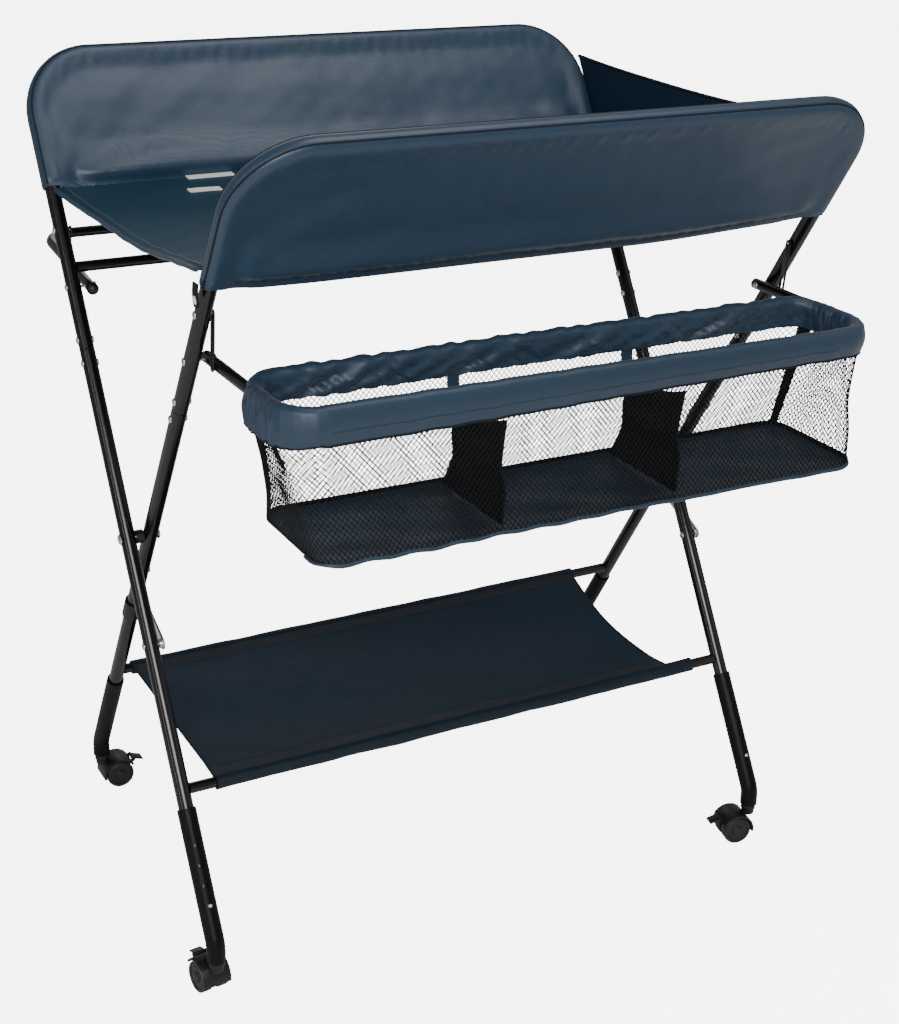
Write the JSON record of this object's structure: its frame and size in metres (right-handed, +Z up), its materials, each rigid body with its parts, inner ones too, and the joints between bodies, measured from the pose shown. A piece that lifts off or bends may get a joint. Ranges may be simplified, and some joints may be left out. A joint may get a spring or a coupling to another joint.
{
  "type": "changing table",
  "caption": "Folding baby changing table: crossed tube frames, padded fabric top with raised sides, storage basket, lower shelf, towel rail and braked casters.",
  "frame": {"origin": "middle of the bounding box's base, on the floor under the table", "axes": "+X along the table's length, -Y towards the basket side (front), +Z up"},
  "size_m": [0.7718, 0.6598, 0.9171],
  "materials": {
    "frame_paint": "gloss black powder coat",
    "steel": "bright zinc plate",
    "black_plastic": "fine moulded grain",
    "caster_tyre": "matte",
    "navy_fabric": "fine woven, slight sheen",
    "black_net": "diamond net and webbing"
  },
  "bodies": {
    "frame_a": {"rear_hoop": "frame_paint", "frame_a_leg_left": "frame_paint", "frame_a_leg_right": "frame_paint", "crossbar": "frame_paint", "shelf_bar_front": "frame_paint", "pivot_bolt_left": "steel", "pivot_bolt_right": "steel", "pivot_spacer_left": "black_plastic", "pivot_spacer_right": "black_plastic", "rear_guard": "navy_fabric", "top_sling": "navy_fabric", "shelf_sling": "navy_fabric", "end_panel": "navy_fabric"},
    "frame_b": {"front_hoop": "frame_paint", "frame_b_leg_left": "frame_paint", "frame_b_leg_right": "frame_paint", "shelf_bar_rear": "frame_paint", "lock_collar": "black_plastic", "front_guard": "navy_fabric", "snap_tab": "black_net"},
    "stay_link_left": {"stay_link_left": "steel"},
    "stay_link_right": {"stay_link_right": "steel"},
    "foot_front_left": {"foot_sleeve_front_left": "frame_paint"},
    "button_front_left": {"height_button_front_left": "steel"},
    "caster_front_left": {"caster_stem_front_left": "steel", "caster_hood_front_left": "black_plastic"},
    "wheels_front_left": {"caster_wheels_front_left": "caster_tyre"},
    "brake_front_left": {"brake_lever_front_left": "black_plastic"},
    "foot_front_right": {"foot_sleeve_front_right": "frame_paint"},
    "button_front_right": {"height_button_front_right": "steel"},
    "caster_front_right": {"caster_stem_front_right": "steel", "caster_hood_front_right": "black_plastic"},
    "wheels_front_right": {"caster_wheels_front_right": "caster_tyre"},
    "brake_front_right": {"brake_lever_front_right": "black_plastic"},
    "foot_rear_left": {"foot_sleeve_rear_left": "frame_paint"},
    "button_rear_left": {"height_button_rear_left": "steel"},
    "caster_rear_left": {"caster_stem_rear_left": "steel", "caster_hood_rear_left": "black_plastic"},
    "wheels_rear_left": {"caster_wheels_rear_left": "caster_tyre"},
    "brake_rear_left": {"brake_lever_rear_left": "black_plastic"},
    "foot_rear_right": {"foot_sleeve_rear_right": "frame_paint"},
    "button_rear_right": {"height_button_rear_right": "steel"},
    "caster_rear_right": {"caster_stem_rear_right": "steel", "caster_hood_rear_right": "black_plastic"},
    "wheels_rear_right": {"caster_wheels_rear_right": "caster_tyre"},
    "brake_rear_right": {"brake_lever_rear_right": "black_plastic"},
    "basket": {"basket_frame": "frame_paint", "basket_rod": "steel", "basket_bag": "navy_fabric", "basket_divider_left": "black_net", "basket_divider_right": "black_net"},
    "towel_rail": {"rail_tube": "frame_paint", "rail_cap_left": "black_plastic", "rail_cap_right": "black_plastic"},
    "basket_strut_left": {"basket_strut_left": "steel"},
    "rail_strut_left": {"rail_strut_left": "steel"},
    "basket_strut_right": {"basket_strut_right": "steel"},
    "rail_strut_right": {"rail_strut_right": "steel"}
  },
  "joints": [
    {"name": "fold", "type": "hinge", "parent": "frame_a", "child": "frame_b", "pos_m": [-0.00332, 0.01302, 0.442], "axis": [-1, 0, 0], "range_deg": [0, 45], "deforming": ["top_sling", "shelf_sling", "end_panel"]},
    {"name": "stay_link_left", "type": "hinge", "parent": "frame_a", "child": "stay_link_left", "pos_m": [-0.35332, -0.04846, 0.34128], "axis": [-1, 0, 0], "range_deg": [-15, 0]},
    {"name": "stay_link_right", "type": "hinge", "parent": "frame_a", "child": "stay_link_right", "pos_m": [0.34668, -0.04846, 0.34128], "axis": [-1, 0, 0], "range_deg": [-15, 0]},
    {"name": "height_front_left", "type": "slide", "parent": "frame_a", "child": "foot_front_left", "axis": [0, -0.521, -0.8536], "range_m": [0, 0.0645]},
    {"name": "button_front_left", "type": "slide", "parent": "foot_front_left", "child": "button_front_left", "axis": [0, -0.8536, 0.521], "range_m": [0, 0.0018], "stiffness_N_per_m": 300, "springref_m": -0.003},
    {"name": "swivel_front_left", "type": "hinge", "parent": "foot_front_left", "child": "caster_front_left", "pos_m": [-0.36582, -0.21711, 0.04], "axis": [0, 0, 1], "continuous": true},
    {"name": "roll_front_left", "type": "hinge", "parent": "caster_front_left", "child": "wheels_front_left", "pos_m": [-0.36781, -0.19821, 0.0175], "axis": [0.9945, 0.1045, 0], "continuous": true},
    {"name": "brake_front_left", "type": "hinge", "parent": "caster_front_left", "child": "brake_front_left", "pos_m": [-0.36989, -0.17841, 0.03144], "axis": [-0.9945, -0.1045, 0], "range_deg": [0, 12]},
    {"name": "height_front_right", "type": "slide", "parent": "frame_a", "child": "foot_front_right", "axis": [0, -0.521, -0.8536], "range_m": [0, 0.0645]},
    {"name": "button_front_right", "type": "slide", "parent": "foot_front_right", "child": "button_front_right", "axis": [0, -0.8536, 0.521], "range_m": [0, 0.0018], "stiffness_N_per_m": 300, "springref_m": -0.003},
    {"name": "swivel_front_right", "type": "hinge", "parent": "foot_front_right", "child": "caster_front_right", "pos_m": [0.33418, -0.21711, 0.04], "axis": [0, 0, 1], "continuous": true},
    {"name": "roll_front_right", "type": "hinge", "parent": "caster_front_right", "child": "wheels_front_right", "pos_m": [0.31555, -0.21338, 0.0175], "axis": [0.1959, 0.9806, 0], "continuous": true},
    {"name": "brake_front_right", "type": "hinge", "parent": "caster_front_right", "child": "brake_front_right", "pos_m": [0.29603, -0.20948, 0.03144], "axis": [-0.1959, -0.9806, 0], "range_deg": [0, 12]},
    {"name": "height_rear_left", "type": "slide", "parent": "frame_b", "child": "foot_rear_left", "axis": [0, 0.521, -0.8536], "range_m": [0, 0.0645]},
    {"name": "button_rear_left", "type": "slide", "parent": "foot_rear_left", "child": "button_rear_left", "axis": [0, 0.8536, 0.521], "range_m": [0, 0.0018], "stiffness_N_per_m": 300, "springref_m": -0.003},
    {"name": "swivel_rear_left", "type": "hinge", "parent": "foot_rear_left", "child": "caster_rear_left", "pos_m": [-0.34082, 0.24314, 0.04], "axis": [0, 0, 1], "continuous": true},
    {"name": "roll_rear_left", "type": "hinge", "parent": "caster_rear_left", "child": "wheels_rear_left", "pos_m": [-0.32182, 0.24314, 0.0175], "axis": [0, -1, 0], "continuous": true},
    {"name": "brake_rear_left", "type": "hinge", "parent": "caster_rear_left", "child": "brake_rear_left", "pos_m": [-0.30191, 0.24314, 0.03144], "axis": [0, 1, 0], "range_deg": [0, 12]},
    {"name": "height_rear_right", "type": "slide", "parent": "frame_b", "child": "foot_rear_right", "axis": [0, 0.521, -0.8536], "range_m": [0, 0.0645]},
    {"name": "button_rear_right", "type": "slide", "parent": "foot_rear_right", "child": "button_rear_right", "axis": [0, 0.8536, 0.521], "range_m": [0, 0.0018], "stiffness_N_per_m": 300, "springref_m": -0.003},
    {"name": "swivel_rear_right", "type": "hinge", "parent": "foot_rear_right", "child": "caster_rear_right", "pos_m": [0.35918, 0.24314, 0.04], "axis": [0, 0, 1], "continuous": true},
    {"name": "roll_rear_right", "type": "hinge", "parent": "caster_rear_right", "child": "wheels_rear_right", "pos_m": [0.36489, 0.26126, 0.0175], "axis": [0.9537, -0.3007, 0], "continuous": true},
    {"name": "brake_rear_right", "type": "hinge", "parent": "caster_rear_right", "child": "brake_rear_right", "pos_m": [0.37088, 0.28024, 0.03144], "axis": [-0.9537, 0.3007, 0], "range_deg": [0, 12]},
    {"name": "basket_lift", "type": "hinge", "parent": "frame_b", "child": "basket", "pos_m": [0.00918, -0.13391, 0.6827], "axis": [-1, 0, 0], "range_deg": [0, 45]},
    {"name": "rail_lift", "type": "hinge", "parent": "frame_a", "child": "towel_rail", "pos_m": [-0.01582, 0.15994, 0.6827], "axis": [1, 0, 0], "range_deg": [0, 15]},
    {"name": "basket_strut_left", "type": "hinge", "parent": "frame_b", "child": "basket_strut_left", "pos_m": [-0.3307, -0.16777, 0.73818], "axis": [-1, 0, 0], "range_deg": [-17, 0]},
    {"name": "rail_strut_left", "type": "hinge", "parent": "frame_a", "child": "rail_strut_left", "pos_m": [-0.35569, 0.19381, 0.73818], "axis": [1, 0, 0], "range_deg": [0, 4]},
    {"name": "basket_strut_right", "type": "hinge", "parent": "frame_b", "child": "basket_strut_right", "pos_m": [0.34906, -0.16777, 0.73818], "axis": [-1, 0, 0], "range_deg": [-17, 0]},
    {"name": "rail_strut_right", "type": "hinge", "parent": "frame_a", "child": "rail_strut_right", "pos_m": [0.32405, 0.19381, 0.73818], "axis": [1, 0, 0], "range_deg": [0, 4]}
  ],
  "couplings": [
    {"joint": "stay_link_left", "follows": "fold", "ratio": -0.303},
    {"joint": "stay_link_right", "follows": "fold", "ratio": -0.303},
    {"joint": "basket_strut_left", "follows": "basket_lift", "ratio": -0.3532},
    {"joint": "rail_strut_left", "follows": "rail_lift", "ratio": 0.1732},
    {"joint": "basket_strut_right", "follows": "basket_lift", "ratio": -0.3532},
    {"joint": "rail_strut_right", "follows": "rail_lift", "ratio": 0.1732}
  ]
}
